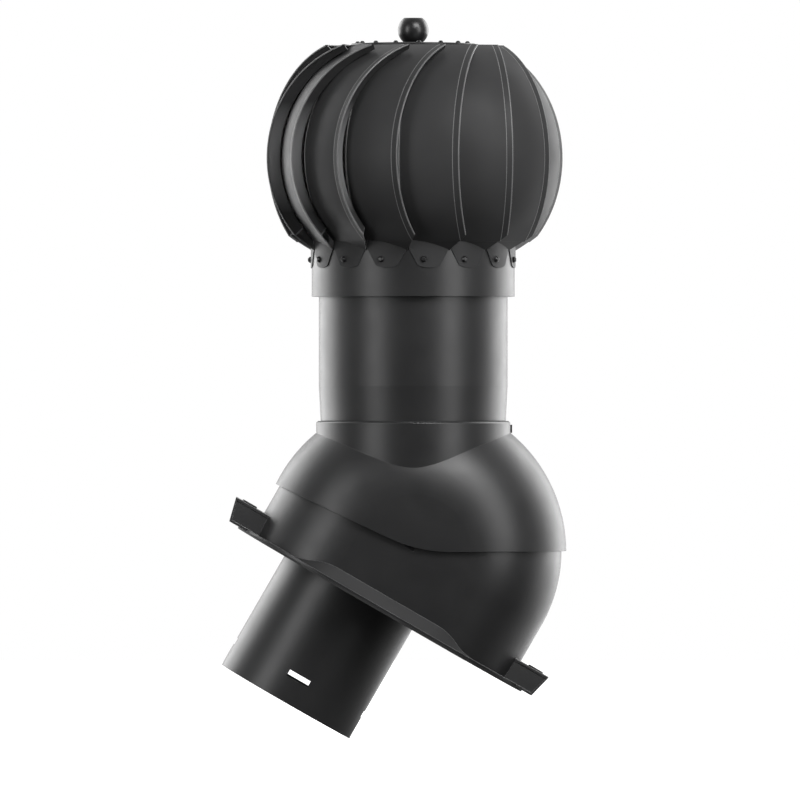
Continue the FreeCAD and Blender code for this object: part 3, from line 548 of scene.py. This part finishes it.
# The lip of the neck's seal, which shows as a dark line under the riser
LIP_R = 80.9 * MM
LIP_WIDTH = 2.2 * MM
LIP_LOW = 108.8 * MM
LIP_HIGH = 110.8 * MM
LIP_SIDES = 288
LIP_NOTCHES = 24
LIP_NOTCH_FROM = 0.6                  # the lip is notched where a wave round it is above this
LIP_NOTCH_DEPTH = 0.6 * MM
LIP_TOLERANCE = 0.1 * MM


def seal_lip():
    """Thin notched lip of rubber on the neck's top edge."""
    deselect()
    bpy.ops.mesh.primitive_cylinder_add(vertices=LIP_SIDES, radius=LIP_R, depth=LIP_HIGH - LIP_LOW,
                                        end_fill_type="NOTHING", location=above((LIP_LOW + LIP_HIGH) / 2))
    piece = bpy.context.object
    piece.name = "neck_seal_lip"
    settle(piece)
    top = tilt_centre.z + LIP_HIGH
    for corner in piece.data.vertices:
        turn = math.atan2(corner.co.y, corner.co.x - tilt_centre.x)
        at_top = abs(corner.co.z - top) < LIP_TOLERANCE
        corner.select = at_top and math.cos(LIP_NOTCHES * turn) > LIP_NOTCH_FROM
    bpy.ops.object.mode_set(mode="EDIT")
    bpy.ops.transform.translate(value=(0.0, 0.0, -LIP_NOTCH_DEPTH))
    bpy.ops.object.mode_set(mode="OBJECT")
    wall = piece.modifiers.new("wall", "SOLIDIFY")
    wall.thickness = LIP_WIDTH
    finish(piece)
    piece.data.materials.append(seal_rubber("lip_rubber"))
    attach(piece, "hood")


# The soft room: its brightness on the camera's side and behind the ventilator, and the two
# depths of view between which it changes
ROOM_FRONT = 0.14
ROOM_BACK = 1.0
ROOM_FROM = -0.35
ROOM_TO = 0.75


def studio_world():
    """White for the camera, and for all else a soft room that is bright behind the ventilator."""
    world = bpy.data.worlds.new("studio")
    bpy.context.scene.world = world
    world.use_nodes = True
    tree = world.node_tree
    tree.nodes.clear()
    direction = tree.nodes.new("ShaderNodeTexCoord")
    split = tree.nodes.new("ShaderNodeSeparateXYZ")
    tree.links.new(direction.outputs["Generated"], split.inputs["Vector"])
    depth = mapped(tree, split.outputs["Y"], ROOM_FROM, ROOM_TO, ROOM_FRONT, ROOM_BACK, soft=True)
    room = tree.nodes.new("ShaderNodeBackground")
    tree.links.new(depth, room.inputs["Strength"])
    white = tree.nodes.new("ShaderNodeBackground")
    white.inputs["Strength"].default_value = 1.0
    ray = tree.nodes.new("ShaderNodeLightPath")
    mix = tree.nodes.new("ShaderNodeMixShader")
    out = tree.nodes.new("ShaderNodeOutputWorld")
    for background in (room, white):
        background.inputs["Color"].default_value = WHITE
    tree.links.new(ray.outputs["Is Camera Ray"], mix.inputs["Fac"])
    tree.links.new(room.outputs["Background"], mix.inputs[1])
    tree.links.new(white.outputs["Background"], mix.inputs[2])
    tree.links.new(mix.outputs["Shader"], out.inputs["Surface"])


# The lamps: name, azimuth and elevation in degrees, distance, width and height in metres, watts
LAMPS = (
    ("left_softbox", -46.0, 8.0, 1.6, 0.6, 1.5, 11.0),
    ("right_softbox", 46.0, 8.0, 1.6, 0.6, 1.5, 12.0),
    ("left_rim_softbox", -132.0, 2.0, 1.6, 1.3, 2.2, 31.0),
    ("right_rim_softbox", 132.0, 2.0, 1.6, 1.3, 2.2, 31.0),
    ("top_softbox", 28.0, 43.0, 1.8, 1.0, 0.8, 24.0),
)
LAMP_AIM = 0.2                        # height above the tilt centre that all of them face


def softbox(name, azimuth, elevation, distance, width, height, power):
    """Area lamp round the ventilator's middle; azimuth 0 stands where the camera does."""
    lamp = bpy.data.lights.new(name, "AREA")
    lamp.shape = "RECTANGLE"
    lamp.size = width
    lamp.size_y = height
    lamp.energy = power
    holder = placed(name, lamp)
    turn = math.radians(azimuth)
    rise = math.radians(elevation)
    away = Vector((math.sin(turn) * math.cos(rise), -math.cos(turn) * math.cos(rise), math.sin(rise)))
    holder.location = above(LAMP_AIM) + away * distance
    holder.rotation_euler = away.to_track_quat("Z", "Y").to_euler()


# The floor: how pale it is in front of the ventilator and behind it
FLOOR_NEAR = -0.15
FLOOR_FAR = 0.35
FLOOR_DARK = 0.0
FLOOR_PALE = 0.8
FLOOR_SIZE = 9.0
FLOOR_GAP = 0.5 * MM
FLOOR_GLOW = 0.95                     # how bright the camera sees it


def floor():
    """Pale floor below the ventilator, white to the camera, with the ventilator's shadow on it."""
    deselect()
    bpy.ops.mesh.primitive_plane_add(size=FLOOR_SIZE, location=(0.0, 0.0, cad_box[0][2] - FLOOR_GAP))
    ground = bpy.context.object
    ground.name = "floor"
    material, tree, shader = new_material("pale_floor")
    place = tree.nodes.new("ShaderNodeTexCoord")
    split = tree.nodes.new("ShaderNodeSeparateXYZ")
    tree.links.new(place.outputs["Object"], split.inputs["Vector"])
    pale = mapped(tree, split.outputs["Y"], FLOOR_NEAR, FLOOR_FAR, FLOOR_DARK, FLOOR_PALE, soft=True)
    tree.links.new(pale, shader.inputs["Base Color"])
    socket(shader, "Roughness", 0.9)
    socket(shader, "Emission Color", WHITE)
    ray = tree.nodes.new("ShaderNodeLightPath")
    glow = tree.nodes.new("ShaderNodeMix")
    glow.inputs["B"].default_value = FLOOR_GLOW
    tree.links.new(ray.outputs["Is Camera Ray"], glow.inputs["Factor"])
    tree.links.new(pale, glow.inputs["A"])
    tree.links.new(glow.outputs["Result"], shader.inputs["Emission Strength"])
    ground.data.materials.append(material)


# The view: square to the ventilator's side, framed as wide as the picture
VIEW_WIDTH = 0.6776
VIEW_SIDE = -0.0112                   # its middle, from the tilt centre
VIEW_HEIGHT = 0.1279
LENS = 800.0
SENSOR = 36.0
CLIP = 3.0                            # how far the camera sees, in times its distance


def camera():
    """Camera far off with a long lens, so that the view is as good as parallel."""
    data = bpy.data.cameras.new("camera")
    data.lens = LENS
    data.sensor_width = SENSOR
    distance = VIEW_WIDTH * LENS / SENSOR
    data.clip_end = distance * CLIP
    holder = placed("camera", data)
    holder.location = (tilt_centre.x + VIEW_SIDE, -distance, tilt_centre.z + VIEW_HEIGHT)
    holder.rotation_euler = (math.radians(90.0), 0.0, 0.0)
    bpy.context.scene.camera = holder


camera()
studio_world()
for lamp_values in LAMPS:
    softbox(*lamp_values)
floor()
dress_nodes()
vane_faces()
hose()
seal_lip()

bpy.context.scene.view_settings.view_transform = "Standard"
